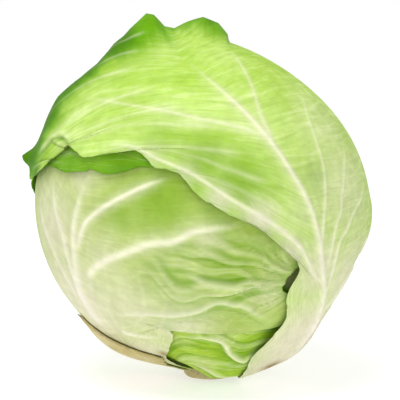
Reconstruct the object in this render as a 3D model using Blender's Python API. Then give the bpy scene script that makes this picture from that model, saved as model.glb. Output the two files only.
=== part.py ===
# A head of white cabbage standing on its cut stalk, built leaf by leaf.
# Metres, +Z up. The origin is the middle of the stalk's cut face, and -Y is the side that
# shows where the two wrapper leaves cross.

import bpy
import math
import numpy as np

mm = 0.001

# driving dimensions
headWidth = 180 * mm          # across the packed head
headRise = 97 * mm            # middle of the head above the cut face
stalkSetBack = 5 * mm         # the stalk stands this far behind the middle of the head
stalkSetRight = 5 * mm        # and this far to the right of it
stalkRadius = 14 * mm
stalkFootRadius = 12.5 * mm   # the flat cut face
stalkHeight = 10 * mm
leafThickness = 0.9 * mm
leafPitch = 1.9 * mm          # from one leaf layer to the next
stubThickness = 1.2 * mm      # the trimmed leaf base is thicker than a leaf
viewTilt = math.radians(10)   # how far the front face of the head leans back

skinRadius = headWidth / 2 + 2.2 * mm
collarRadius = stalkRadius + 4.5 * mm
headMiddle = np.array([-stalkSetRight, -stalkSetBack, headRise])

frontAxis = np.array([0, -math.cos(viewTilt), math.sin(viewTilt)])
rightAxis = np.array([1.0, 0, 0])
upAxis = np.array([0, math.sin(viewTilt), math.cos(viewTilt)])

# layers count inwards from the outermost leaf
layerRadius = {name: skinRadius - leafPitch * layer for name, layer in {
    "right_wrapper_leaf": 0,
    "upper_left_leaf": 1,
    "trimmed_leaf_base": 0.9,
    "left_wrapper_leaf": 2,
    "back_leaf": 3,
    "lower_front_leaf": 3.4,
    "right_under_leaf": 4,
    "heart": 5.1}.items()}


def face(right, up):
    """Direction at so many degrees right of and above the middle of the front face."""
    away = math.radians(math.hypot(right, up))
    side = math.atan2(up, right)
    return (math.cos(away) * frontAxis
            + math.sin(away) * (math.cos(side) * rightAxis + math.sin(side) * upAxis))


def around(turn, rise):
    """Direction turned so many degrees from the front towards the right, and raised."""
    turn, rise = math.radians(turn), math.radians(rise)
    return np.array([math.cos(rise) * math.sin(turn),
                     -math.cos(rise) * math.cos(turn),
                     math.sin(rise)])


def collar(turn):
    """Direction of the ring round the stalk from which the leaves grow."""
    turn = math.radians(turn)
    ring = np.array([collarRadius * math.sin(turn), -collarRadius * math.cos(turn), 10 * mm])
    out = ring - headMiddle
    return out / np.linalg.norm(out)


# broad swellings and hollows that every layer shares: direction, spread in degrees, height
headSwellings = [
    (face(50, 72), 42, -8.8 * mm),
    (face(70, -45), 25, 2.5 * mm),
    (face(44, -78), 15, 4.0 * mm),
    (face(12, -86), 13, 5.0 * mm),
    (face(-45, -78), 12, 2.5 * mm),
    (face(5, 13), 13, -1.6 * mm),
    (face(-20, -1), 14, -1.4 * mm),
    (face(2, -26), 12, -1.2 * mm)]

# Each leaf is three lines from the stalk to its tip: the midrib and both edges. Its lifts are
# the places where it stands off the head: direction, spread in degrees, height. The frill of
# the outermost leaf says how far its crinkled far edge stands off, in millimetres, by the turn
# round the front face in degrees.
leaves = {
    "right_wrapper_leaf": {
        "midrib": [collar(70), face(32, -88), face(42, -73), face(47, -58), face(48, -39),
                   face(45, -26), face(41, -11), face(37, -1), face(31, 9), face(25, 18),
                   face(18, 27), face(9, 37), face(0, 47), face(-7, 56), face(-13, 74),
                   face(-18, 91)],
        "leftEdge": [collar(45), face(19, -84), face(20, -75), face(22, -66), face(26, -59),
                     face(29, -53), face(32, -47), face(32, -41), face(31, -35), face(33, -30),
                     face(35, -25), face(32, -19), face(25, -14), face(19, -9), face(14, -6),
                     face(8, -4), face(1, 0), face(-3, 4), face(-6, 8), face(-11, 10),
                     face(-15, 11), face(-18, 14), face(-24, 17), face(-32, 16), face(-40, 15),
                     face(-44, 17), face(-49, 20), face(-53, 18), face(-58, 16), face(-67, 12),
                     face(-77, 9), face(-82, 14), face(-88, 22), face(-87, 33), face(-81, 47),
                     face(-71, 60), face(-60, 71), face(-46, 80), face(-35, 86), face(-26, 90)],
        "rightEdge": [collar(98), face(46, -76), face(50, -60), face(54, -45), face(61, -31),
                      face(68, -21), face(80, -12), around(97, 8), around(108, 25),
                      around(118, 42), around(132, 58), around(152, 66), face(12, 93),
                      face(-8, 93)],
        "lifts": [(face(-88, 21), 4, 3.5 * mm), (face(-46, 22), 3, 1.2 * mm)],
        "frill": [(79.5, 0), (80.5, 4), (84, 8.5), (89, 10.5), (94, 7.5), (98.5, 4),
                  (101.5, 5.5), (104, 12.5), (106, 14), (109.5, 10.5), (115, 5.5), (119, 4),
                  (122, 2), (127, -0.3), (134, -0.3), (144, 2), (156, 0), (163, 0), (166, 2),
                  (169, -0.3), (178, -0.3)]},
    "left_wrapper_leaf": {
        "midrib": [collar(-60), face(-26, -80), face(-40, -60), face(-49, -42), face(-49, -26),
                   face(-48, -12), face(-45, -2), face(-40, 9), face(-33, 22), face(-24, 34),
                   face(-18, 42)],
        "leftEdge": [collar(-108), around(-112, -55), around(-122, -30), around(-125, 0),
                     around(-118, 28), around(-95, 45), face(-42, 46), face(-24, 44)],
        "rightEdge": [collar(-22), face(-15, -77), face(-14, -67), face(-12, -59),
                      face(-11, -53), face(-13, -47), face(-9, -44), face(0, -42), face(6, -40),
                      face(12, -41), face(17, -43), face(22, -46), face(27, -50), face(32, -51),
                      face(37, -46), face(36, -38), face(31.5, -34), face(30.5, -31.5),
                      face(33, -27), face(39, -21), face(39, -10), face(32, 5), face(20, 16), face(5, 28), face(-5, 36),
                      face(-12, 41)],
        "lifts": [(face(28, -38), 10, 1.3 * mm)]},
    "upper_left_leaf": {
        "midrib": [collar(-135), around(-140, -45), around(-138, -10), around(-125, 20),
                   around(-105, 42), around(-80, 58), face(-24, 68)],
        "leftEdge": [collar(-166), around(-175, -45), around(-178, -10), around(-172, 25),
                     around(-165, 50), around(-150, 72), face(-28, 75)],
        "rightEdge": [collar(-102), around(-112, -50), around(-114, -25), around(-107, -5),
                      face(-86, 9), face(-75, 12), face(-66, 14), face(-57, 13), face(-52, 11),
                      face(-47, 10), face(-42, 10), face(-39, 11), face(-36, 10), face(-31, 9),
                      face(-25, 10), face(-20, 11), face(-15, 11), face(-6, 16), face(0, 28),
                      face(-4, 42), face(-12, 55), face(-20, 63)],
        "lifts": []},
    "lower_front_leaf": {
        "midrib": [collar(-4), face(4, -86), face(6, -70), face(7, -55), face(6, -40),
                   face(5, -26)],
        "leftEdge": [collar(-34), face(-20, -82), face(-24, -65), face(-22, -48),
                     face(-13, -34), face(-2, -25)],
        "rightEdge": [collar(44), face(28, -82), face(36, -64), face(38, -46), face(30, -30),
                      face(12, -24)],
        "lifts": [(face(11, -88), 8, 5.5 * mm), (face(22, -72), 14, 4 * mm)]},
    "right_under_leaf": {
        "midrib": [collar(118), around(108, -45), around(108, 0), around(105, 40),
                   around(95, 66)],
        "leftEdge": [collar(86), around(62, -50), around(55, -15), around(55, 20),
                     around(60, 50), around(82, 66)],
        "rightEdge": [collar(150), around(150, -45), around(158, 0), around(155, 40),
                      around(120, 68)],
        "lifts": [(face(86, -40), 15, 3 * mm)]},
    "back_leaf": {
        "midrib": [collar(180), around(180, -45), around(180, 0), around(178, 40),
                   around(172, 75), face(-4, 74)],
        "leftEdge": [collar(136), around(135, -45), around(125, 0), around(124, 38),
                     around(110, 68), face(6, 68)],
        "rightEdge": [collar(-152), around(-140, -45), around(-131, 0), around(-126, 35),
                      around(-105, 64), face(-14, 68)],
        "lifts": []},
    "trimmed_leaf_base": {
        "midrib": [collar(-64), face(-26, -92), face(-36, -66)],
        "leftEdge": [collar(-92), face(-52, -88), face(-60, -56)],
        "rightEdge": [collar(-36), face(-15, -88), face(-17, -71)],
        "lifts": []}}

# grid lines from stalk to tip, and from the midrib to one edge
leafRows = {"right_wrapper_leaf": 36, "left_wrapper_leaf": 30, "upper_left_leaf": 28,
            "lower_front_leaf": 14, "right_under_leaf": 16, "back_leaf": 18,
            "trimmed_leaf_base": 6}
leafColumns = 10

# base colour, roughness
finishes = {
    "stalk": ((0.74, 0.66, 0.42), 0.75),
    "heart": ((0.74, 0.82, 0.45), 0.50),
    "right_wrapper_leaf": ((0.58, 0.78, 0.28), 0.45),
    "left_wrapper_leaf": ((0.72, 0.80, 0.48), 0.45),
    "upper_left_leaf": ((0.42, 0.68, 0.12), 0.45),
    "lower_front_leaf": ((0.62, 0.78, 0.30), 0.45),
    "right_under_leaf": ((0.66, 0.78, 0.34), 0.45),
    "back_leaf": ((0.60, 0.77, 0.32), 0.45),
    "trimmed_leaf_base": ((0.55, 0.48, 0.24), 0.60)}


def unit(vectors):
    return vectors / np.linalg.norm(vectors, axis=-1, keepdims=True)


def smoothLine(points, count):
    """Evenly spaced directions along a smooth line through the given directions."""
    points = np.array(points)
    padded = np.vstack([2 * points[0] - points[1], points, 2 * points[-1] - points[-2]])
    dense = []
    for a, b, c, d in zip(padded, padded[1:], padded[2:], padded[3:]):
        t = np.linspace(0, 1, 24, endpoint=False)[:, None]
        dense.append(0.5 * (2 * b + (c - a) * t + (2 * a - 5 * b + 4 * c - d) * t ** 2
                            + (3 * b - a - 3 * c + d) * t ** 3))
    dense = unit(np.vstack(dense + [points[-1:]]))
    length = np.append(0, np.cumsum(np.linalg.norm(np.diff(dense, axis=0), axis=1)))
    wanted = np.linspace(0, length[-1], count)
    even = np.column_stack([np.interp(wanted, length, dense[:, k]) for k in range(3)])
    return unit(even)


def between(first, last, share):
    """Directions part of the way along the great circles from first to last."""
    angle = np.arccos(np.clip(np.sum(first * last, axis=-1, keepdims=True), -1, 1))
    return unit((np.sin((1 - share) * angle) * first + np.sin(share * angle) * last)
                / np.sin(angle))


def leafDirections(leaf, rows):
    """A grid of directions: rows from stalk to tip, columns from left edge to right edge."""
    midrib = smoothLine(leaf["midrib"], rows)[:, None, :]
    halves = []
    for edge in ("leftEdge", "rightEdge"):
        line = smoothLine(leaf[edge], rows)[:, None, :]
        share = np.linspace(0, 1, leafColumns)[None, 1:, None]
        halves.append(between(midrib, line, share))
    return np.concatenate([halves[0][:, ::-1], midrib, halves[1]], axis=1)


def swell(directions, swellings):
    """Height added at each direction by a list of round swellings."""
    height = np.zeros(directions.shape[:-1])
    for middle, spread, rise in swellings:
        away = np.degrees(np.arccos(np.clip(directions @ middle, -1, 1)))
        height += rise * np.exp(-(away / spread) ** 2)
    return height


def crinkle(directions, frill):
    """Height of the crinkled edge, greatest a quarter turn away from the front face."""
    away = np.degrees(np.arccos(np.clip(directions @ frontAxis, -1, 1)))
    turn = np.degrees(np.arctan2(directions @ upAxis, directions @ rightAxis))
    knots = np.array(frill)
    return (np.interp(turn, knots[:, 0], knots[:, 1], left=0, right=0) * mm
            * np.exp(-((away - 90) / 13) ** 2))


def addObject(name, vertices, faces):
    """One named object with its own finish and smooth shading."""
    mesh = bpy.data.meshes.new(name)
    mesh.from_pydata([tuple(v) for v in vertices], [], [tuple(f) for f in faces])
    mesh.update()
    mesh.polygons.foreach_set("use_smooth", [True] * len(mesh.polygons))
    colour, roughness = finishes[name]
    material = bpy.data.materials.new(name)
    material.use_nodes = True
    shader = material.node_tree.nodes["Principled BSDF"]
    shader.inputs["Base Color"].default_value = (*colour, 1)
    shader.inputs["Roughness"].default_value = roughness
    shader.inputs["Metallic"].default_value = 0
    mesh.materials.append(material)
    thing = bpy.data.objects.new(name, mesh)
    bpy.context.scene.collection.objects.link(thing)
    return thing


def addLeaf(name, leaf, thickness):
    """A thin closed shell that lies on the head at its own layer."""
    directions = leafDirections(leaf, leafRows[name])
    radius = (layerRadius[name] + swell(directions, headSwellings)
              + swell(directions, leaf["lifts"]))[..., None]
    if "frill" in leaf:
        radius += crinkle(directions, leaf["frill"])[..., None]
    rows, columns = directions.shape[:2]
    outer = (headMiddle + directions * radius).reshape(-1, 3)
    inner = (headMiddle + directions * (radius - thickness)).reshape(-1, 3)
    index = np.arange(rows * columns).reshape(rows, columns)
    corners = [index[:-1, :-1], index[:-1, 1:], index[1:, 1:], index[1:, :-1]]
    skin = np.stack([c.ravel() for c in corners], axis=1)
    under = skin[:, ::-1] + rows * columns
    rim = np.concatenate([index[0, :-1], index[:-1, -1], index[-1, :0:-1], index[:0:-1, 0]])
    following = np.roll(rim, -1)
    side = np.stack([following, rim, rim + rows * columns, following + rows * columns], axis=1)
    return addObject(name, np.vstack([outer, inner]), np.vstack([skin, under, side]))


def addHeart():
    """The tightly packed leaves inside the head, one round solid."""
    rings, segments = 26, 40
    rise = np.linspace(-90, 90, rings + 1)[1:-1]
    turn = np.arange(segments) * 360 / segments
    body = np.array([[around(t, r) for t in turn] for r in rise]).reshape(-1, 3)
    directions = np.vstack([body, around(0, -90), around(0, 90)])
    radius = (layerRadius["heart"] + swell(directions, headSwellings))[:, None]
    index = np.arange(len(body)).reshape(rings - 1, segments)
    faces = []
    for low, high in zip(index, index[1:]):
        for k in range(segments):
            n = (k + 1) % segments
            faces.append((low[k], low[n], high[n], high[k]))
    for k in range(segments):
        n = (k + 1) % segments
        faces.append((len(body), index[0][n], index[0][k]))
        faces.append((len(body) + 1, index[-1][k], index[-1][n]))
    return addObject("heart", headMiddle + directions * radius, faces)


def addStalk():
    """The cut stump: a round foot with a small bevel, a little wider at the top."""
    segments = 40
    profile = [(stalkFootRadius, 0), (stalkRadius - 0.4 * mm, 1.2 * mm),
               (stalkRadius, 3 * mm), (stalkRadius, stalkHeight - 1.5 * mm),
               (stalkRadius - 1.5 * mm, stalkHeight)]
    turn = np.arange(segments) * 2 * math.pi / segments
    rings = [np.column_stack([r * np.cos(turn), r * np.sin(turn), np.full(segments, z)])
             for r, z in profile]
    faces = [tuple(range(segments))[::-1]]
    for level in range(len(profile) - 1):
        for k in range(segments):
            n = (k + 1) % segments
            low, high = level * segments, (level + 1) * segments
            faces.append((low + k, low + n, high + n, high + k))
    top = (len(profile) - 1) * segments
    faces.append(tuple(range(top, top + segments)))
    return addObject("stalk", np.vstack(rings), faces)


for thing in list(bpy.data.objects):
    bpy.data.objects.remove(thing)

addStalk()
addHeart()
for leafName, leafLines in leaves.items():
    thick = stubThickness if leafName == "trimmed_leaf_base" else leafThickness
    addLeaf(leafName, leafLines, thick)
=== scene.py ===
import bpy
import math
import numpy as np
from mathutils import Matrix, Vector


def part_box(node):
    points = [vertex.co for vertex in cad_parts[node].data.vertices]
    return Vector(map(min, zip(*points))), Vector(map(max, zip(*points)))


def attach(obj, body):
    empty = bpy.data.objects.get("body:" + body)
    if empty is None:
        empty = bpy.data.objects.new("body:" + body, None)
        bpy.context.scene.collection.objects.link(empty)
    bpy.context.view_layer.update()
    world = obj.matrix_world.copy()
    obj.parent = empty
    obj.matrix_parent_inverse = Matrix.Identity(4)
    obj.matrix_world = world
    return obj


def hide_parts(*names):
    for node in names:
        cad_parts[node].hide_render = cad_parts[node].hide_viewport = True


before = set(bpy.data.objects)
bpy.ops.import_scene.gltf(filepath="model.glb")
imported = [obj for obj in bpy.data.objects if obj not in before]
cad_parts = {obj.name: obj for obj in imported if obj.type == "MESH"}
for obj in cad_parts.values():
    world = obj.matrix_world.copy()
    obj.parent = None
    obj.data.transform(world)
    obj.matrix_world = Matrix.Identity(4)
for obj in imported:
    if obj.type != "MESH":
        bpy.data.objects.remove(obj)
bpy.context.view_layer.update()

mm = 0.001

# the head: its middle and front face are taken from the CAD stalk, everything else hangs on them
stalkLow, stalkHigh = (np.array(corner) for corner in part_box("stalk"))
head = {
    "width": 180 * mm,
    "rise": 97 * mm,                  # middle of the head above the surface it stands on
    "stalkSetBack": 5 * mm,
    "stalkSetRight": 5 * mm,
    "lean": math.radians(10),         # how far the front face leans back
    "pitch": 1.9 * mm,                # from one leaf layer to the next
}
skinRadius = head["width"] / 2 + 2.2 * mm
stalkMiddle = (stalkLow + stalkHigh) / 2
headMiddle = np.array([stalkMiddle[0] - head["stalkSetRight"],
                       stalkMiddle[1] - head["stalkSetBack"], stalkLow[2] + head["rise"]])
collarRadius = (stalkHigh[0] - stalkLow[0]) / 2 + 4.5 * mm
frontAxis = np.array([0, -math.cos(head["lean"]), math.sin(head["lean"])])
rightAxis = np.array([1.0, 0, 0])
upAxis = np.array([0, math.sin(head["lean"]), math.cos(head["lean"])])

# how many layers each leaf lies under the outermost one
layer = {"right_wrapper_leaf": 0, "upper_left_leaf": 1, "trimmed_leaf_base": 0.9,
         "left_wrapper_leaf": 2, "back_leaf": 3, "lower_front_leaf": 3.4, "right_under_leaf": 4,
         "heart": 5.1}


# direction so many degrees right of and above the middle of the front face
def face(right, up):
    away, side = math.radians(math.hypot(right, up)), math.atan2(up, right)
    return (math.cos(away) * frontAxis
            + math.sin(away) * (math.cos(side) * rightAxis + math.sin(side) * upAxis))


# the reverse of face: how far right and up of the middle of the front face, in degrees
def faceDegrees(directions):
    away = np.degrees(np.arccos(np.clip(directions @ frontAxis, -1, 1)))
    sideways, upwards = directions @ rightAxis, directions @ upAxis
    size = np.maximum(np.hypot(sideways, upwards), 1e-9)
    return away * sideways / size, away * upwards / size


# direction turned so many degrees from the front to the right, and raised
def around(turn, rise):
    turn, rise = math.radians(turn), math.radians(rise)
    return np.array([math.cos(rise) * math.sin(turn), -math.cos(rise) * math.cos(turn),
                     math.sin(rise)])


# direction of the ring round the stalk from which the leaves grow
def collar(turn):
    turn = math.radians(turn)
    ring = stalkMiddle * [1, 1, 0] + [collarRadius * math.sin(turn),
                                      -collarRadius * math.cos(turn), 10 * mm]
    return unit(ring - headMiddle)


def unit(vectors):
    return vectors / np.linalg.norm(vectors, axis=-1, keepdims=True)


# a smooth line through the points on the unit ball, cut into evenly spaced directions
def smoothLine(points, count):
    points = np.array(points)
    padded = np.vstack([2 * points[0] - points[1], points, 2 * points[-1] - points[-2]])
    t = np.linspace(0, 1, 24, endpoint=False)[None, :, None]
    a, b, c, d = (padded[k:len(padded) - 3 + k, None, :] for k in range(4))
    dense = 0.5 * (2 * b + (c - a) * t + (2 * a - 5 * b + 4 * c - d) * t ** 2
                   + (3 * b - a - 3 * c + d) * t ** 3)
    dense = unit(np.vstack([dense.reshape(-1, 3), points[-1:]]))
    length = np.append(0, np.cumsum(np.linalg.norm(np.diff(dense, axis=0), axis=1)))
    wanted = np.linspace(0, length[-1], count)
    return unit(np.column_stack([np.interp(wanted, length, dense[:, k]) for k in range(3)]))


# points part of the way along the great circles from first to last
def between(first, last, share):
    angle = np.arccos(np.clip(np.sum(first * last, axis=-1, keepdims=True), -1, 1))
    return unit((np.sin((1 - share) * angle) * first + np.sin(share * angle) * last)
                / np.sin(angle))


# smooth step from 0 at low to 1 at high
def ramp(value, low, high):
    t = np.clip((value - low) / (high - low), 0, 1)
    return t * t * (3 - 2 * t)


# sum of round bumps on the ball: height times exp of minus (distance over spread) squared
def swell(directions, swellings):
    height = np.zeros(directions.shape[:-1])
    for middle, spread, rise in swellings:
        away = np.degrees(np.arccos(np.clip(directions @ middle, -1, 1)))
        height += rise * np.exp(-(away / spread) ** 2)
    return height


# an uneven but repeatable wave along a line: three sines whose lengths don't match, -1 to 1
def unevenWave(along, seed):
    return (np.sin(along + seed) + 0.6 * np.sin(1.73 * along + 2.1 * seed)
            + 0.4 * np.sin(3.1 * along + 0.7 * seed)) / 2


# distance in degrees from a line on the ball, which side of it, and how far along it is nearest
def nearLine(directions, points, count=90):
    line = smoothLine(points, count)
    flat = directions.reshape(-1, 3)
    nearest = np.argmax(flat @ line.T, axis=1)
    step = np.gradient(line, axis=0)
    foot, heading = line[nearest], unit(step)[nearest]
    offset = flat - foot
    along = np.sum(offset * heading, axis=1)
    across = np.linalg.norm(offset - along[:, None] * heading, axis=1)
    past = np.where((nearest == 0) | (nearest == count - 1), np.abs(along), 0)
    side = np.sign(np.sum(np.cross(heading, foot) * offset, axis=1))
    share = nearest / (count - 1)
    shape = directions.shape[:-1]
    distance = np.degrees(np.hypot(across, past))
    return distance.reshape(shape), (side * distance).reshape(shape), share.reshape(shape)


# broad swellings and hollows that every layer shares: direction, spread in degrees, height
headSwellings = [
    (face(50, 72), 42, -8.8 * mm),
    (face(70, -45), 25, 2.5 * mm),
    (face(44, -78), 15, 4.0 * mm),
    (face(12, -86), 13, 5.0 * mm),
    (face(-45, -78), 12, 2.5 * mm),
    (face(5, 13), 13, -1.6 * mm),
    (face(-20, -1), 14, -1.4 * mm),
    (face(2, -26), 12, -1.2 * mm)]


def srgbToLinear(hexColour):
    channels = [int(hexColour[k:k + 2], 16) / 255 for k in (1, 3, 5)]
    linear = [c / 12.92 if c <= 0.04045 else ((c + 0.055) / 1.055) ** 2.4 for c in channels]
    return (*linear, 1)


# adds a node with its settings and what feeds its inputs
def addNode(tree, kind, settings=None, inputs=None):
    node = tree.nodes.new(kind)
    for key, value in (settings or {}).items():
        setattr(node, key, value)
    for key, value in (inputs or {}).items():
        if isinstance(value, bpy.types.NodeSocket):
            tree.links.new(value, node.inputs[key])
        else:
            node.inputs[key].default_value = value
    return node


# Fresh cabbage leaf: a thin waxy skin over wet flesh. The wax makes the highlights broad and
# soft, the flesh lets a little light through, and the colour goes from creamy ribs to green.
def waxyLeaf(name, look):
    material = bpy.data.materials.new(name)
    material.use_nodes = True
    tree = material.node_tree
    tree.nodes.clear()
    place = addNode(tree, "ShaderNodeTexCoord").outputs["Object"]

    def attribute(key):
        return addNode(tree, "ShaderNodeAttribute", {"attribute_name": key}).outputs["Fac"]

    def mixColour(share, first, last):
        node = addNode(tree, "ShaderNodeMix", {"data_type": "RGBA"})
        for key, value in (("Factor", share), ("A", first), ("B", last)):
            socket = next(s for s in node.inputs if s.name == key and s.enabled)
            if isinstance(value, bpy.types.NodeSocket):
                tree.links.new(value, socket)
            else:
                socket.default_value = value
        return next(s for s in node.outputs if s.enabled)

    def sums(operation, first, second):
        return addNode(tree, "ShaderNodeMath", {"operation": operation, "use_clamp": True},
                       {0: first, 1: second}).outputs[0]

    # blotches of 30 mm and mottling of 5 mm in the green flesh
    blotch = addNode(tree, "ShaderNodeTexNoise", inputs={"Vector": place, "Scale": 33.0,
                                                         "Detail": 3.0}).outputs["Fac"]
    mottle = addNode(tree, "ShaderNodeTexNoise", inputs={"Vector": place, "Scale": 190.0,
                                                         "Detail": 4.0}).outputs["Fac"]
    wide = addNode(tree, "ShaderNodeMapRange", inputs={"Value": blotch, "From Min": 0.35,
                                                       "From Max": 0.65}).outputs[0]
    flesh = mixColour(wide, srgbToLinear(look["lamina"]), srgbToLinear(look["laminaDeep"]))
    # fine veinlets: noise stretched along the side ribs, in the leaf's own coordinates
    flow = addNode(tree, "ShaderNodeCombineXYZ", inputs={"X": attribute("flowOut"),
                                                         "Y": attribute("flowUp")}).outputs[0]
    veinlet = addNode(tree, "ShaderNodeTexNoise",
                      inputs={"Vector": flow, "Scale": 1.0, "Detail": 5.0, "Roughness": 0.62,
                              "Distortion": 0.9}).outputs["Fac"]
    dark = addNode(tree, "ShaderNodeMapRange", inputs={"Value": veinlet, "From Min": 0.52,
                                                       "From Max": 0.70}).outputs[0]
    light = addNode(tree, "ShaderNodeMapRange", inputs={"Value": veinlet, "From Min": 0.48,
                                                        "From Max": 0.32}).outputs[0]
    flesh = mixColour(sums("MULTIPLY", dark, look["veinlets"]), flesh,
                      srgbToLinear(look["patch"]))
    flesh = mixColour(sums("MULTIPLY", light, look["veinlets"]), flesh,
                      srgbToLinear(look["rib_and_highlight"]))
    # greener patches: the leaf's own colour, and in the hollows between ribs partly painted shade
    flesh = mixColour(attribute("green_and_shade"), flesh, srgbToLinear(look["patch"]))
    flesh = mixColour(attribute("pale"), flesh, srgbToLinear(look["base"]))
    # fresher green rim; along the far edge it is partly painted shade where the leaf turns away
    flesh = mixColour(attribute("edge"), flesh, srgbToLinear(look["edge"]))
    # painted shade: darker green in crease and fold valleys, at the far edge, in gaps and under
    # overlapping margins
    flesh = mixColour(attribute("painted_shade"), flesh, srgbToLinear(look["painted_shade"]))
    ribTint = mixColour(attribute("pale"), srgbToLinear(look["rib_and_highlight"]),
                        srgbToLinear(look["ribBase"]))
    # pale ribs and fibres, plus painted highlights on crease lips and fold crests
    flesh = mixColour(attribute("rib_and_highlight"), flesh, ribTint)
    flesh = mixColour(attribute("brown"), flesh, srgbToLinear("#8a6a2a"))
    speck = addNode(tree, "ShaderNodeMapRange",
                    inputs={"Value": sums("ADD", sums("MULTIPLY", mottle, 0.5),
                                          sums("MULTIPLY", veinlet, 0.5)),
                            "From Min": 0.35, "From Max": 0.65, "To Min": 1.07,
                            "To Max": 0.90}).outputs[0]
    flesh = addNode(tree, "ShaderNodeVectorMath", {"operation": "SCALE"},
                    {0: flesh, "Scale": speck}).outputs[0]
    shine = addNode(tree, "ShaderNodeMapRange",
                    inputs={"Value": mottle, "To Min": look["roughness"] - 0.06,
                            "To Max": look["roughness"] + 0.08}).outputs[0]
    height = sums("ADD", sums("MULTIPLY", mottle, 0.3), sums("SUBTRACT", 1.0, veinlet))
    bump = addNode(tree, "ShaderNodeBump", inputs={"Strength": 0.5, "Distance": 0.7 * mm,
                                                   "Height": height}).outputs["Normal"]
    shader = addNode(tree, "ShaderNodeBsdfPrincipled",
                     inputs={"Base Color": flesh, "Roughness": shine, "Normal": bump,
                             "IOR": 1.42, "Specular IOR Level": 0.03,
                             "Subsurface Weight": look["glow"],
                             "Subsurface Radius": (0.6, 1.0, 0.25),
                             "Subsurface Scale": 2.5 * mm})
    addNode(tree, "ShaderNodeOutputMaterial", inputs={"Surface": shader.outputs["BSDF"]})
    return material


# puts a grid of faces, its attributes and its material into one piece that sits at the origin
def addPiece(name, vertices, faces, masks, material):
    mesh = bpy.data.meshes.new(name)
    mesh.from_pydata(vertices, [], faces)
    mesh.update()
    mesh.polygons.foreach_set("use_smooth", np.ones(len(mesh.polygons), dtype=bool))
    for key, values in masks.items():
        layerOfPoints = mesh.attributes.new(key, "FLOAT", "POINT")
        layerOfPoints.data.foreach_set("value", values.astype(np.float32))
    mesh.materials.append(material)
    piece = bpy.data.objects.new(name + "_skin", mesh)
    bpy.context.scene.collection.objects.link(piece)
    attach(piece, "root")
    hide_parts(name)
    return piece


# quads of a grid of points, rows by columns, numbered from start
def gridQuads(rows, columns, start=0):
    index = np.arange(rows * columns).reshape(rows, columns) + start
    return np.stack([index[:-1, :-1].ravel(), index[:-1, 1:].ravel(),
                     index[1:, 1:].ravel(), index[1:, :-1].ravel()], axis=1)


# the outline of a grid, one round through all its border points
def gridRim(rows, columns, start=0):
    index = np.arange(rows * columns).reshape(rows, columns) + start
    return np.concatenate([index[0, :-1], index[:-1, -1], index[-1, :0:-1], index[:0:-1, 0]])


# how a rib's cross-section follows from its stated width: the colour, the ridge and the pale halo
ribShape = {"colour": 0.6, "ridge": 1.2, "halo": 3.2, "haloTint": 0.5}
# the far edge's crinkles spread this many degrees to both sides of the quarter turn
frillSpread = 13
# what is painted on each point of a leaf, apart from its flow coordinates
maskNames = ("rib_and_highlight", "pale", "edge", "painted_shade", "green_and_shade", "brown")


# a grid of directions, rows from stalk to tip and columns from the left edge to the right one,
# with how far across and along the leaf each point is and the two wavy edges
def leafGrid(name, leaf):
    rows = leaf["rows"]
    edges = {}
    for key in ("leftEdge", "rightEdge"):
        line = smoothLine(leaf[key], rows)
        run = np.linspace(0, 1, rows) * leaf["edgeWaves"] * 2 * math.pi
        sideways = unit(np.cross(line, np.gradient(line, axis=0)))
        sway = np.radians(leaf["edgeSway"]) * (unevenWave(run, len(name) + len(key))
                                               + 0.45 * unevenWave(run * 6.1, 0.8))
        edges[key] = unit(line + sideways * (sway * leafEnds(rows))[:, None])[:, None, :]
    midrib = smoothLine(leaf["midrib"], rows)[:, None, :]
    shares = [np.linspace(0, 1, count + 1)[None, 1:, None] for count in leaf["halves"]]
    left = between(midrib, edges["leftEdge"], shares[0])[:, ::-1]
    directions = np.concatenate([left, midrib, between(midrib, edges["rightEdge"], shares[1])],
                                axis=1)
    across = np.concatenate([-shares[0][0, ::-1, 0], [0], shares[1][0, :, 0]])[None, :]
    return directions, across, np.linspace(0, 1, rows)[:, None], edges


# ribs: a ridge that tapers towards its end, with a pale core and a wide faint halo
def layVeins(veins, directions, lift, masks):
    for vein in veins:
        distance, side, reach = nearLine(directions, vein["line"])
        width = ribShape["colour"] * (vein["width"][0]
                                      + (vein["width"][1] - vein["width"][0]) * reach)
        strength = vein["strength"][0] + (vein["strength"][1] - vein["strength"][0]) * reach
        strength = strength * ramp(reach, -0.02, 0.12) * ramp(1 - reach, 0, 0.25)
        ridge = np.exp(-(distance / (width * ribShape["ridge"])) ** 2)
        lift += vein["height"] * strength * ridge
        colour = strength * np.exp(-(distance / width) ** 2)
        masks["rib_and_highlight"] = 1 - (1 - masks["rib_and_highlight"]) * (1 - colour)
        halo = np.exp(-(distance / (width * ribShape["halo"])) ** 2)
        masks["pale"] = 1 - (1 - masks["pale"]) * (1 - ribShape["haloTint"] * strength * halo)


# creases: a raised lip with a painted highlight on the left of the way the line runs, then a
# valley with painted shade that rises slowly on its right
def layCreases(creases, directions, lift, masks):
    for crease in creases:
        distance, side, reach = nearLine(directions, crease["line"])
        fade = ramp(reach, 0, 0.3) * ramp(1 - reach, 0, 0.3) * ramp(-distance, -9, -5)
        width = crease["width"] * (0.35 + 0.65 * fade)
        valley = fade * ramp(side, -0.5, 0.6) * np.exp(-np.maximum(side, 0) / width)
        lip = fade * np.exp(-((side + 1.1) / 1.2) ** 2)
        lift += crease["ridge"] * lip - crease["furrow"] * valley
        # painted shade in the valley and a painted highlight on the lip
        masks["painted_shade"] = np.maximum(masks["painted_shade"], crease["dark"] * valley)
        masks["rib_and_highlight"] = np.maximum(masks["rib_and_highlight"], crease["light"] * lip)


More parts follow.
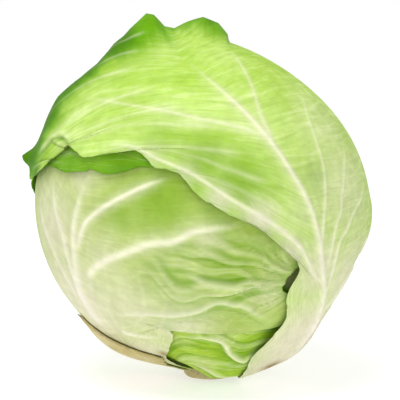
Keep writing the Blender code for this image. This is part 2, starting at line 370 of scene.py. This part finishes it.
# the crinkled far edge, and ragged bands that follow it round the front face: a greener rim that
# is partly the leaf's own colour and partly painted shade where the leaf turns away, and painted
# shade
def layFarEdge(leaf, right, up, lift, masks):
    turn, away = np.degrees(np.arctan2(up, right)), np.hypot(right, up)
    if leaf["frill"]:
        knots = np.array(leaf["frill"])
        lift += (np.interp(turn, knots[:, 0], knots[:, 1], left=0, right=0) * mm
                 * np.exp(-((away - 90) / frillSpread) ** 2))
    for first, last, low, high, key, amount in leaf["bands"]:
        ragged = away + 3.5 * unevenWave(turn * 0.35, low) + 1.5 * unevenWave(turn * 1.3, high)
        band = ramp(turn, first - 3, first + 3) * ramp(-turn, -last - 3, -last + 3)
        masks[key] = np.maximum(masks[key], amount * band * ramp(ragged, low, high))


# round patches of colour, some of them painted shade: direction, spread in degrees, strength
def layPatches(leaf, directions, masks):
    for key in ("pale", "green_and_shade", "painted_shade", "brown", "edge"):
        for middle, spread, amount in leaf[key]:
            away = np.degrees(np.arccos(np.clip(directions @ middle, -1, 1)))
            masks[key] = np.maximum(masks[key], amount * np.exp(-(away / spread) ** 2))


# joins the fine outer grid and the inner grid, half as fine, into one closed shell
def closedShell(outer, inner):
    rows, columns = outer.shape[:2]
    innerRows, innerColumns = inner.shape[:2]
    innerStart = rows * columns
    fine = gridRim(rows, columns)
    coarse = gridRim(innerRows, innerColumns, innerStart)
    near, middle, far = fine[0::2], fine[1::2], np.roll(fine[0::2], -1)
    ahead = np.roll(coarse, -1)
    triangles = np.vstack([np.stack(corners, axis=1) for corners in (
        (middle, near, coarse), (middle, coarse, ahead), (far, middle, ahead))])
    faces = (gridQuads(rows, columns).tolist()
             + gridQuads(innerRows, innerColumns, innerStart)[:, ::-1].tolist()
             + triangles.tolist())
    return np.vstack([outer.reshape(-1, 3), inner.reshape(-1, 3)]), faces


# A leaf is a grid of directions between its midrib and its two edges, pushed out to its layer
# and closed underneath. Ribs, creases, folds and the rim add to its height, and the leaf's
# ceiling keeps what they add below the leaf above it.
def addLeaf(name, leaf):
    directions, across, along, edges = leafGrid(name, leaf)
    rows, columns = directions.shape[:2]
    lift = swell(directions, leaf["lifts"])
    masks = {key: np.zeros((rows, columns)) for key in maskNames}
    layVeins(leaf["veins"] + sideVeins(leaf, directions), directions, lift, masks)
    layCreases(leaf["creases"], directions, lift, masks)
    right, up = faceDegrees(directions)
    for fan in leaf["fans"]:
        foldFan(fan, right, up, lift, masks)
    layFarEdge(leaf, right, up, lift, masks)
    layPatches(leaf, directions, masks)

    # flow coordinates: out along a side rib, and up from one side rib to the next
    swept = leaf["sweep"] * np.abs(across) ** 1.3
    masks["flowOut"] = 4.0 * across + 0 * along
    masks["flowUp"] = leaf["flow"] * (along - swept) / (1 - swept)

    # fibres run along the leaf beside the midrib and show in its pale base
    fibre = unevenWave(across * leaf["fibres"] + 0.6 * unevenWave(along * 9, 0.4), 2.2)
    fibre = np.clip(fibre, 0, 1) * masks["pale"]
    masks["rib_and_highlight"] = np.maximum(masks["rib_and_highlight"], leaf["fibreTint"] * fibre)
    lift += 0.25 * mm * fibre

    # the last few millimetres: the edge lifts off, thins out and turns a fresher green
    rimDistance = np.minimum(edgeDistance(directions, edges["leftEdge"][:, 0]),
                             edgeDistance(directions, edges["rightEdge"][:, 0]))
    nearRim = np.exp(-(rimDistance / leaf["rimWidth"]) ** 2) * leafEnds(rows)[:, None]
    wave = unevenWave(along * leaf["edgeWaves"] * 3.0 + across * 2.0, 1.3)
    lift += nearRim * leaf["rimLift"] * (1 + 0.5 * wave) * ramp(along, 0.12, 0.3)
    lift = np.minimum(lift, leaf["ceiling"])
    masks["edge"] = np.maximum(masks["edge"],
                               leaf["rimGreen"] * np.exp(-(rimDistance / leaf["rimTint"]) ** 2)
                               * ramp(along, 0.15, 0.45))

    radius = (skinRadius - head["pitch"] * layer[name] + swell(directions, headSwellings)
              + lift)[..., None]
    thickness = leaf["thickness"] * (0.45 + 0.55 * ramp(rimDistance, 0, 3))[..., None]
    points, faces = closedShell(headMiddle + directions * radius,
                                (headMiddle + directions * (radius - thickness))[::2, ::2])
    attributes = {}
    for key, values in masks.items():
        values = values if key.startswith("flow") else np.clip(values, 0, 1)
        attributes[key] = np.concatenate([values.ravel(), values[::2, ::2].ravel()])
    print("leaf", name, len(faces), "faces")
    return addPiece(name, points, faces, attributes, waxyLeaf("waxy_" + name, leaf["look"]))


# Folds that run together on a pole: a wave round the pole, with painted shade in a sharp valley
# where it crosses zero and a painted highlight on the crest beside it. They fade out close to the
# pole and far from the fan's middle.
def foldFan(fan, right, up, lift, masks):
    sideways, upwards = right - fan["pole"][0], up - fan["pole"][1]
    distance = np.hypot(sideways, upwards)
    bearing = np.degrees(np.arctan2(-upwards, -sideways))
    bend = fan["bend"] * unevenWave(distance * 0.11, fan["seed"])
    fold = unevenWave((bearing + bend) / fan["step"] * math.pi, fan["seed"])
    patchy = 0.75 + 0.25 * unevenWave(distance * 0.16 + bearing * 0.05, fan["seed"] + 2)
    zone = (patchy * ramp(distance, 3, 12)
            * np.exp(-(((right - fan["middle"][0]) / fan["spread"][0]) ** 2
                       + ((up - fan["middle"][1]) / fan["spread"][1]) ** 2) ** 2))
    valley, crest = np.exp(-(fold / 0.2) ** 2), np.exp(-((fold - 0.5) / 0.22) ** 2)
    lift += zone * fan["height"] * (crest - 0.5 * valley + 0.4 * fold)
    # painted shade in the valleys and painted highlights on the crests
    masks["painted_shade"] = np.maximum(masks["painted_shade"], fan["dark"] * zone * valley)
    masks["rib_and_highlight"] = np.maximum(masks["rib_and_highlight"], fan["light"] * zone * crest)


# 0 at the two ends of a leaf and 1 over the rest of its length
def leafEnds(rows):
    along = np.linspace(0, 1, rows)
    return ramp(along, 0, 0.06) * ramp(1 - along, 0, 0.02)


def edgeDistance(directions, edge):
    flat = directions.reshape(-1, 3)
    closest = np.concatenate([np.max(chunk @ edge[::2].T, axis=1)
                              for chunk in np.array_split(flat, 12)])
    return np.degrees(np.arccos(np.clip(closest, -1, 1))).reshape(directions.shape[:-1])


# side ribs leave the midrib at even steps and sweep forward to the edge
def sideVeins(leaf, directions):
    veins = []
    rows, columns = directions.shape[:2]
    middle = columns // 2
    for side, start, stop, count, strength in leaf["sideRibs"]:
        for first in np.linspace(start, stop, count):
            t = np.linspace(0, 0.94, 9)
            row = np.clip((first + leaf["sweep"] * t ** 1.3 * (1 - first)) * (rows - 1), 0,
                          rows - 1).astype(int)
            column = np.rint(middle + side * t * middle).astype(int)
            veins.append({"line": directions[row, column], "width": (1.5, 0.6),
                          "strength": (strength, 0.3 * strength),
                          "height": strength * mm})
    return veins


# each look's darkest green is painted shade for valleys, gaps and the strips under overlapping
# edges
outerLook = {"lamina": "#c4e27a", "laminaDeep": "#acd24e", "patch": "#82ae22", "base": "#ddd9bc",
             "rib_and_highlight": "#f2f5c8", "ribBase": "#efe9da", "edge": "#62a000", "painted_shade": "#467c00",
             "veinlets": 0.28, "roughness": 0.46, "glow": 0.05}
paleLook = {**outerLook, "lamina": "#bed07c", "laminaDeep": "#a8c058", "base": "#dcdbb9",
            "patch": "#84ac2c", "painted_shade": "#6c9c08", "veinlets": 0.14}
# the band seen under the right wrapper's margin: its darker greens are partly painted shade from
# that margin
bandLook = {**outerLook, "lamina": "#8abc30", "laminaDeep": "#6fa81c", "edge": "#57920c",
            "painted_shade": "#386a06"}

# what a leaf has unless its own dictionary says otherwise; widths and spreads in degrees
leafDefaults = {"rows": 261, "halves": (90, 90), "thickness": 0.9 * mm, "ceiling": 1.0,
                "lifts": [], "frill": [], "fans": [], "veins": [], "creases": [],
                "sideRibs": [], "sweep": 0.55, "flow": 60, "fibres": 70, "fibreTint": 0.3,
                "bands": [], "pale": [], "green_and_shade": [], "painted_shade": [], "brown": [], "edge": [],
                "edgeWaves": 9, "edgeSway": 0.45, "rimWidth": 2.2, "rimLift": 0.5 * mm,
                "rimGreen": 0.5, "rimTint": 2.5}


def vein(width, strength, height, *points):
    return {"line": [face(*p) for p in points], "width": width, "strength": strength,
            "height": height * mm}


# dark sets the painted shade in the crease's valley, light the painted highlight on its lip
def crease(width, ridge, furrow, dark, light, *points):
    return {"line": [face(*p) for p in points], "width": width, "ridge": ridge * mm,
            "furrow": furrow * mm, "dark": dark, "light": light}


rightWrapper = {
    **leafDefaults, "look": outerLook, "rows": 341, "halves": (150, 80),
    "midrib": [collar(70), face(32, -88), face(42, -73), face(47, -58), face(48, -39),
               face(45, -26), face(41, -11), face(37, -1), face(31, 9), face(25, 18),
               face(18, 27), face(9, 37), face(0, 47), face(-7, 56), face(-13, 74),
               face(-18, 91)],
    "leftEdge": [collar(45), face(19, -84), face(20, -75), face(22, -66), face(26, -59),
                 face(29, -53), face(32, -47), face(32, -41), face(31, -35), face(33, -30),
                 face(35, -25), face(32, -19), face(25, -14), face(19, -9), face(14, -6),
                 face(8, -4), face(1, 0), face(-3, 4), face(-6, 8), face(-11, 10),
                 face(-15, 11), face(-18, 14), face(-24, 17), face(-32, 16), face(-40, 15),
                 face(-44, 17), face(-49, 20), face(-53, 18), face(-58, 16), face(-67, 12),
                 face(-77, 9), face(-82, 14), face(-88, 22), face(-87, 33), face(-81, 47),
                 face(-71, 60), face(-60, 71), face(-46, 80), face(-35, 86), face(-26, 90)],
    "rightEdge": [collar(98), face(46, -76), face(50, -60), face(54, -45), face(61, -31),
                  face(68, -21), face(80, -12), around(97, 8), around(108, 25),
                  around(118, 42), around(132, 58), around(152, 66), face(12, 93),
                  face(-8, 93)],
    "lifts": [(face(-88, 21), 4, 3.5 * mm), (face(-46, 22), 3, 1.2 * mm)],
    # how far the crinkled far edge stands off, by the turn round the front face
    "frill": [(79.5, 0), (80.5, 4), (84, 8.5), (89, 10.5), (94, 7.5), (98.5, 4), (101.5, 5.5),
              (104, 12.5), (106, 14), (109.5, 10.5), (115, 5.5), (119, 4), (122, 2), (127, -0.3),
              (134, -0.3), (144, 2), (156, 0), (163, 0), (166, 2), (169, -0.3), (178, -0.3)],
    # bands along the far edge: a greener rim partly painted shade, and painted shade where the
    # leaf turns away
    "bands": [(100, 174, 62, 78, "edge", 0.95), (112, 170, 68, 82, "painted_shade", 0.9),
              (78, 104, 72, 86, "edge", 0.85), (76, 92, 84, 90, "painted_shade", 0.6)],
    "rimLift": 0.7 * mm, "rimGreen": 0.15, "sweep": 0.12, "flow": 75,
    # fold valleys carry painted shade, crests a painted highlight
    "fans": [{"pole": (-42, 15), "middle": (-60, 18), "spread": (15, 8), "step": 24, "bend": 6,
              "height": 1.2 * mm, "dark": 0.8, "light": 0.3, "seed": 0.6}],
    "sideRibs": [(-1, 0.36, 0.9, 10, 0.28)],
    "veins": [
        vein((2.6, 1.0), (0.9, 0.7), 1.6, (40, -78), (46, -58), (48, -39), (45, -26), (41, -11),
             (37, -1), (31, 9), (25, 18), (18, 27), (9, 37), (0, 47), (-7, 56)),
        vein((1.2, 0.7), (0.5, 0.3), 0.5, (25, 18), (21, 31), (19, 44), (15, 60), (13, 68)),
        vein((1.2, 0.6), (0.6, 0.2), 0.6, (23, 21), (15, 24), (6, 26), (-4, 28), (-27, 34),
             (-52, 42)),
        vein((1.6, 0.9), (0.8, 0.5), 1.0, (46, -33), (40, -25), (34, -16), (24, -8), (10, 0),
             (-2, 8), (-13, 13), (-24, 18), (-39, 19)),
        vein((1.3, 0.6), (0.7, 0.4), 0.7, (43, -20), (44, -8), (45, 2), (45, 13), (43, 24),
             (42, 34), (43, 44), (42, 52)),
        vein((1.3, 0.7), (0.7, 0.5), 0.7, (47, -26), (50, -11), (53, -4), (54, 2), (57, 12),
             (60, 20), (61, 26)),
        vein((1.4, 0.8), (0.8, 0.5), 0.8, (48, -38), (52, -18), (56, -12), (61, -5), (68, 1),
             (76, 11)),
        vein((1.8, 1.1), (0.7, 0.7), 0.9, (46, -60), (50, -46), (56, -38), (61, -30), (66, -24),
             (71, -18), (79, -12))],
    "pale": [(face(44, -60), 24, 1.1), (face(36, -76), 20, 1.1), (face(62, -34), 18, 0.9),
             (face(44, -26), 14, 0.75), (face(38, -4), 9, 0.4), (face(30, -20), 8, 0.9),
             (face(19, -7), 7, 0.85), (face(6, 0), 5, 0.7), (face(-5, 8), 5, 0.5),
             (face(-16, 14), 5, 0.4), (face(58, 2), 24, 0.5),
             (face(52, 28), 18, 0.35)],
    # greener patches; the ones in the hollows between ribs are partly painted shade
    "green_and_shade": [(face(12, 6), 11, 1.0), (face(2, 13), 10, 0.95), (face(-12, 19), 8, 0.6),
              (face(41, 8), 5, 0.7), (face(-28, 62), 14, 0.5), (face(-60, 45), 14, 0.35),
              (face(10, 82), 10, 0.7)],
    # painted shade in the strip where the folded tip turns under
    "painted_shade": [(face(-70, 11), 3.5, 0.8)],
    "brown": [(face(33, -77), 3, 0.9)],
    # the crease's valley carries painted shade and its lip a painted highlight
    "creases": [crease(1.3, 0.5, 0.6, 1.0, 0.35, (-74, 19), (-69, 21), (-64, 23), (-60, 25),
                       (-55, 25), (-50, 23), (-46, 21))],
}

leftWrapper = {
    **leafDefaults, "look": paleLook, "rows": 341, "halves": (80, 150),
    "midrib": [collar(-60), face(-26, -80), face(-40, -60), face(-49, -42), face(-49, -26),
               face(-48, -12), face(-45, -2), face(-40, 9), face(-33, 22), face(-24, 34),
               face(-18, 42)],
    "leftEdge": [collar(-108), around(-112, -55), around(-122, -30), around(-125, 0),
                 around(-118, 28), around(-95, 45), face(-42, 46), face(-24, 44)],
    "rightEdge": [collar(-22), face(-15, -77), face(-14, -67), face(-12, -59),
                  face(-11, -53), face(-13, -47), face(-9, -44), face(0, -42), face(6, -40),
                  face(12, -41), face(17, -43), face(22, -46), face(27, -50), face(32, -51),
                  face(37, -46), face(36, -38), face(31.5, -34), face(30.5, -31.5), face(33, -27),
                  face(39, -21), face(39, -10), face(32, 5), face(20, 16), face(5, 28),
                  face(-5, 36), face(-12, 41)],
    "rimLift": 0.5 * mm, "rimGreen": 0.25, "sweep": 0.15,
    "lifts": [(face(28, -38), 10, 1.3 * mm)], "ceiling": 2.5 * mm,
    # fold valleys carry painted shade, crests a painted highlight
    "fans": [{"pole": (40, -30), "middle": (10, -27), "spread": (28, 15), "step": 15, "bend": 9,
              "height": 1.6 * mm, "dark": 0.95, "light": 0.5, "seed": 1.1},
             {"pole": (44, -40), "middle": (8, -24), "spread": (26, 15), "step": 8, "bend": 6,
              "height": 0.6 * mm, "dark": 0.6, "light": 0.3, "seed": 4.0}],
    "veins": [
        vein((3.6, 1.8), (0.95, 0.8), 1.3, (-42, -58), (-49, -42), (-49, -26), (-48, -12),
             (-46, -4), (-43, 4), (-40, 10)),
        vein((2.2, 1.2), (0.8, 0.6), 0.8, (-52, -42), (-62, -24), (-69, -11), (-73, 3)),
        vein((2.6, 1.5), (0.9, 0.7), 0.9, (-46, -46), (-52, -28), (-54, -16), (-57, -8),
             (-60, 3), (-61, 11)),
        vein((1.8, 1.2), (0.9, 0.9), 1.0, (-47, -20), (-43, -10), (-39, -6), (-33, -2),
             (-25, 2), (-18, 5), (-12, 7), (-9, 8)),
        vein((2.4, 1.8), (1.0, 0.8), 1.6, (-46, -32), (-36, -23), (-25, -18), (-17, -15),
             (-9, -14), (-3, -11), (2, -10), (10, -9), (16, -9)),
        vein((2.4, 1.8), (0.8, 0.6), 0.6, (-34, -56), (-22, -56), (-15, -55))],
    # painted highlights on the crease lips and painted shade in their valleys
    "creases": [
        crease(1.9, 1.6, 0.6, 0.0, 0.6, (-40, -48), (-22, -44), (-8, -43), (0, -41), (6, -38),
               (12, -39), (16, -40), (24, -46), (30, -48)),
        crease(1.6, 0.9, 1.0, 0.9, 0.5, (21, -31), (14, -30), (7, -29), (2, -28), (-2, -26),
               (-6, -23)),
        crease(2.0, 0.5, 0.9, 0.55, 0.1, (8, -11), (13, -12), (16, -14), (21, -16), (27, -19)),
        crease(1.4, 0.8, 1.0, 0.9, 0.3, (22, -24), (26, -25), (31, -27), (33, -28))],
    "pale": [(face(-52, -48), 28, 1.05), (face(-62, -12), 20, 0.85), (face(-28, -42), 18, 0.75),
             (face(2, -13), 6, 0.5), (face(24, -34), 7, 0.5), (face(-44, 8), 8, 0.6),
             (face(-10, -48), 14, 0.75), (face(-36, -22), 11, 0.6), (face(-22, -70), 16, 1.0)],
    # greener patches, partly painted shade in the hollows
    "green_and_shade": [(face(-14, 0), 14, 0.9), (face(-28, -5), 8, 0.75), (face(6, -4), 9, 0.7),
              (face(-12, -25), 8, 0.5), (face(-5, -33), 8, 0.5), (face(10, -22), 10, 0.45),
              (face(20, -17), 8, 0.4)],
    "edge": [], "painted_shade": [], "brown": [(face(-16, -68), 2.2, 0.7),
                                           (face(-38, -68), 9, 0.3)],
}

upperLeft = {
    **leafDefaults, "look": bandLook,
    "midrib": [collar(-135), around(-140, -45), around(-138, -10), around(-125, 20),
               around(-105, 42), around(-80, 58), face(-24, 68)],
    "leftEdge": [collar(-166), around(-175, -45), around(-178, -10), around(-172, 25),
                 around(-165, 50), around(-150, 72), face(-28, 75)],
    "rightEdge": [collar(-102), around(-112, -50), around(-114, -25), around(-107, -5),
                  face(-86, 9), face(-75, 12), face(-66, 14), face(-57, 13), face(-52, 11),
                  face(-47, 10), face(-42, 10), face(-39, 11), face(-36, 10), face(-31, 9),
                  face(-25, 10), face(-20, 11), face(-15, 11), face(-6, 16), face(0, 28),
                  face(-4, 42), face(-12, 55), face(-20, 63)],
    "sideRibs": [(-1, 0.08, 0.8, 7, 0.7), (1, 0.08, 0.75, 6, 0.4)],
    "veins": [{"line": [collar(-135), around(-140, -45), around(-138, -10), around(-125, 20),
                        around(-105, 42), around(-80, 58)], "width": (2.6, 0.8),
               "strength": (0.9, 0.5), "height": 1.2 * mm}],
    "pale": [(around(-140, -50), 34, 0.9)],
    "edge": [(face(-48, 13), 6, 0.5)],
    # painted shade under the right wrapper's margin
    "painted_shade": [(face(-26, 12), 7, 0.35)],
}

lowerFront = {
    **leafDefaults,
    "look": {**outerLook, "lamina": "#b2d040", "laminaDeep": "#9cc428", "painted_shade": "#629408"},
    "midrib": [collar(-4), face(4, -86), face(6, -70), face(7, -55), face(6, -40),
               face(5, -26)],
    "leftEdge": [collar(-34), face(-20, -82), face(-24, -65), face(-22, -48),
                 face(-13, -34), face(-2, -25)],
    "rightEdge": [collar(44), face(28, -82), face(36, -64), face(38, -46), face(30, -30),
                  face(12, -24)],
    "lifts": [(face(11, -88), 8, 5.5 * mm), (face(22, -72), 14, 4 * mm)],
    "ceiling": 5.0 * mm, "sweep": 0,
    # fold valleys carry painted shade, crests a painted highlight
    "fans": [{"pole": (46, -62), "middle": (8, -66), "spread": (30, 17), "step": 12, "bend": 8,
              "height": 1.3 * mm, "dark": 0.8, "light": 0.4, "seed": 2.4}],
    # painted shade in the crease valleys and painted highlights on their lips
    "creases": [
        crease(2.2, 2.0, 0.5, 0.95, 0.8, (-10, -57), (-4, -57), (5, -57), (9, -60), (12, -67),
               (19, -72), (24, -68), (28, -62)),
        # these two are the painted shadow cast by the left wrapper's margin above
        crease(2.0, 0.4, 0.5, 0.95, 0.0, (-16, -44), (-12, -45), (-7, -45), (-2, -49), (2, -51)),
        crease(2.2, 0.4, 0.6, 0.95, 0.1, (6, -41), (12, -43), (18, -45), (24, -49), (29, -52)),
        crease(1.8, 1.2, 0.4, 0.6, 0.7, (-8, -80), (0, -80), (8, -83), (16, -86), (22, -84))],
    "pale": [(face(-8, -60), 5, 0.25), (face(12, -54), 6, 0.25), (face(0, -76), 6, 0.25)],
    "green_and_shade": [(face(4, -48), 9, 0.4), (face(20, -64), 7, 0.6), (face(-6, -70), 6, 0.3)],
    # painted shade in the gap beside the right wrapper and under its edge
    "painted_shade": [(face(33, -31), 7, 1.6), (face(31, -52), 5, 1.4)],
}

rightUnder = {
    **leafDefaults, "look": paleLook,
    "midrib": [collar(118), around(108, -45), around(108, 0), around(105, 40),
               around(95, 66)],
    "leftEdge": [collar(86), around(62, -50), around(55, -15), around(55, 20),
                 around(60, 50), around(82, 66)],
    "rightEdge": [collar(150), around(150, -45), around(158, 0), around(155, 40),
                  around(120, 68)],
    "lifts": [(face(86, -40), 15, 3 * mm)],
    "sideRibs": [(-1, 0.06, 0.7, 6, 0.7), (1, 0.06, 0.7, 6, 0.7)],
    "veins": [{"line": [collar(118), around(108, -45), around(108, 0), around(105, 40),
                        around(97, 60)], "width": (2.8, 0.7), "strength": (0.9, 0.5),
               "height": 1.2 * mm}],
    "pale": [(around(110, -50), 30, 0.9)],
}

backLeaf = {
    **leafDefaults, "look": outerLook,
    "midrib": [collar(180), around(180, -45), around(180, 0), around(178, 40),
               around(172, 75), face(-4, 74)],
    "leftEdge": [collar(136), around(135, -45), around(125, 0), around(124, 38),
                 around(110, 68), face(6, 68)],
    "rightEdge": [collar(-152), around(-140, -45), around(-131, 0), around(-126, 35),
                  around(-105, 64), face(-14, 68)],
    "sideRibs": [(-1, 0.06, 0.75, 7, 0.7), (1, 0.06, 0.75, 7, 0.7)],
    "veins": [{"line": [collar(180), around(180, -45), around(180, 0), around(178, 40),
                        around(172, 75)], "width": (2.8, 0.8), "strength": (0.9, 0.5),
               "height": 1.3 * mm}],
    "pale": [(around(180, -55), 36, 0.9)],
}

# a stub of an old leaf, dried to tan where it was cut
trimmedBase = {
    **leafDefaults,
    "look": {**outerLook, "lamina": "#d6cba2", "laminaDeep": "#c3b47c", "base": "#e0d8bc",
             "rib_and_highlight": "#e2dab4", "edge": "#a8965c", "painted_shade": "#6f6126", "patch": "#a9a052",
             "roughness": 0.6, "glow": 0.05},
    "rows": 61, "halves": (40, 40), "thickness": 1.2 * mm, "rimLift": -0.7 * mm, "rimWidth": 3,
    "sweep": 0, "flow": 12, "lifts": [(face(-60, -56), 8, -0.5 * mm)],
    "midrib": [collar(-64), face(-26, -92), face(-36, -66)],
    "leftEdge": [collar(-92), face(-52, -88), face(-60, -56)],
    "rightEdge": [collar(-36), face(-15, -88), face(-17, -71)],
}

for leafName, leaf, slotName in (("right_wrapper_leaf", rightWrapper, "outer_leaf"),
                                 ("left_wrapper_leaf", leftWrapper, "pale_leaf"),
                                 ("upper_left_leaf", upperLeft, "outer_leaf"),
                                 ("lower_front_leaf", lowerFront, "outer_leaf"),
                                 ("right_under_leaf", rightUnder, "pale_leaf"),
                                 ("back_leaf", backLeaf, "outer_leaf"),
                                 ("trimmed_leaf_base", trimmedBase, "dry_leaf_base")):
    addLeaf(leafName, leaf)

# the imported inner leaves: a closed ball of rings at the heart's layer, shared swellings included
heartMesh = {"rings": 120, "segments": 200}


def addHeart(size):
    rise = np.linspace(-math.pi / 2, math.pi / 2, size["rings"] + 1)[1:-1, None]
    turn = (np.arange(size["segments"]) * 2 * math.pi / size["segments"])[None, :]
    body = np.stack([np.cos(rise) * np.sin(turn), -np.cos(rise) * np.cos(turn),
                     np.sin(rise) + 0 * turn], axis=-1)
    rings, segments = body.shape[:2]
    directions = np.vstack([body.reshape(-1, 3), [[0, 0, -1], [0, 0, 1]]])
    radius = skinRadius - head["pitch"] * layer["heart"] + swell(directions, headSwellings)
    index = np.arange(rings * segments).reshape(rings, segments)
    following = np.roll(index, -1, axis=1)
    quads = np.stack([index[:-1].ravel(), following[:-1].ravel(), following[1:].ravel(),
                      index[1:].ravel()], axis=1)
    south, north = rings * segments, rings * segments + 1
    caps = ([[south, b, a] for a, b in zip(index[0], following[0])]
            + [[north, a, b] for a, b in zip(index[-1], following[-1])])
    masks = {key: np.zeros(len(directions)) for key in ("rib_and_highlight", "edge", "painted_shade", "green_and_shade", "brown")}
    masks["flowOut"], masks["flowUp"] = 4 * directions[:, 0], 30 * directions[:, 2]
    masks["pale"] = 0.6 * ramp(-directions[:, 2], -0.2, 0.8)
    addPiece("heart", headMiddle + directions * radius[:, None], quads.tolist() + caps, masks,
             waxyLeaf("waxy_heart", paleLook))


addHeart(heartMesh)
print("heart done")


# Cut cabbage stalk: wet fibrous flesh inside a woody rind. The cut dries to a straw colour.
def cutStalk():
    material = bpy.data.materials.new("cut_stalk_flesh")
    material.use_nodes = True
    tree = material.node_tree
    tree.nodes.clear()
    place = addNode(tree, "ShaderNodeTexCoord").outputs["Object"]
    grain = addNode(tree, "ShaderNodeTexNoise", inputs={"Vector": place, "Scale": 500.0,
                                                        "Detail": 4.0}).outputs["Fac"]
    ramped = addNode(tree, "ShaderNodeValToRGB", inputs={"Fac": grain})
    ramped.color_ramp.elements[0].color = srgbToLinear("#a8965c")
    ramped.color_ramp.elements[1].color = srgbToLinear("#d9d0a0")
    bump = addNode(tree, "ShaderNodeBump", inputs={"Strength": 0.5, "Distance": 0.4 * mm,
                                                   "Height": grain}).outputs["Normal"]
    shader = addNode(tree, "ShaderNodeBsdfPrincipled",
                     inputs={"Base Color": ramped.outputs["Color"], "Roughness": 0.7,
                             "Normal": bump, "IOR": 1.4})
    addNode(tree, "ShaderNodeOutputMaterial", inputs={"Surface": shader.outputs["BSDF"]})
    return material


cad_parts["stalk"].data.materials.clear()
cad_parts["stalk"].data.materials.append(cutStalk())
print("stalk done")

# white studio: a seamless floor, a large soft light overhead and a weaker one from the front
studio = {"floor": 12.0, "floorColour": (0.6, 0.6, 0.6, 1), "floorGlow": 0.60, "sky": 0.60,
          "cameraDistance": 1.7, "frameWidth": 214.5 * mm}


def addFloor(size):
    bpy.ops.mesh.primitive_plane_add(size=size["floor"], location=(0, 0, stalkLow[2]))
    floor = bpy.context.object
    floor.name = "studio_floor"
    material = bpy.data.materials.new("white_paper")
    material.use_nodes = True
    shader = material.node_tree.nodes["Principled BSDF"]
    shader.inputs["Base Color"].default_value = size["floorColour"]
    shader.inputs["Roughness"].default_value = 0.9
    shader.inputs["Specular IOR Level"].default_value = 0.1
    shader.inputs["Emission Color"].default_value = (1, 1, 1, 1)
    shader.inputs["Emission Strength"].default_value = size["floorGlow"]
    floor.data.materials.append(material)


def addLight(name, place, size, power):
    light = bpy.data.lights.new(name, "AREA")
    light.shape = "DISK"
    light.size, light.energy = size, power
    lamp = bpy.data.objects.new(name, light)
    bpy.context.scene.collection.objects.link(lamp)
    lamp.location = place
    aim(lamp, headMiddle)


# turns a thing at its place so that it looks at the target
def aim(thing, target):
    away = Vector(thing.location) - Vector(target)
    thing.rotation_euler = away.to_track_quat("Z", "Y").to_euler()


addFloor(studio)
addLight("overhead_softbox", (-0.25, -0.35, 1.25), 0.8, 8.5)
addLight("front_softbox", (0.2, -1.5, 0.6), 0.8, 3.5)

world = bpy.data.worlds.new("white_room")
bpy.context.scene.world = world
world.use_nodes = True
world.node_tree.nodes["Background"].inputs["Color"].default_value = (1, 1, 1, 1)
world.node_tree.nodes["Background"].inputs["Strength"].default_value = studio["sky"]
bpy.context.scene.view_settings.view_transform = "Standard"

camera = bpy.data.objects.new("camera", bpy.data.cameras.new("camera"))
bpy.context.scene.collection.objects.link(camera)
camera.location = headMiddle + frontAxis * studio["cameraDistance"]
aim(camera, headMiddle)
camera.data.sensor_width = 36
camera.data.lens = 36 * studio["cameraDistance"] / studio["frameWidth"]
bpy.context.scene.camera = camera
print("studio done")
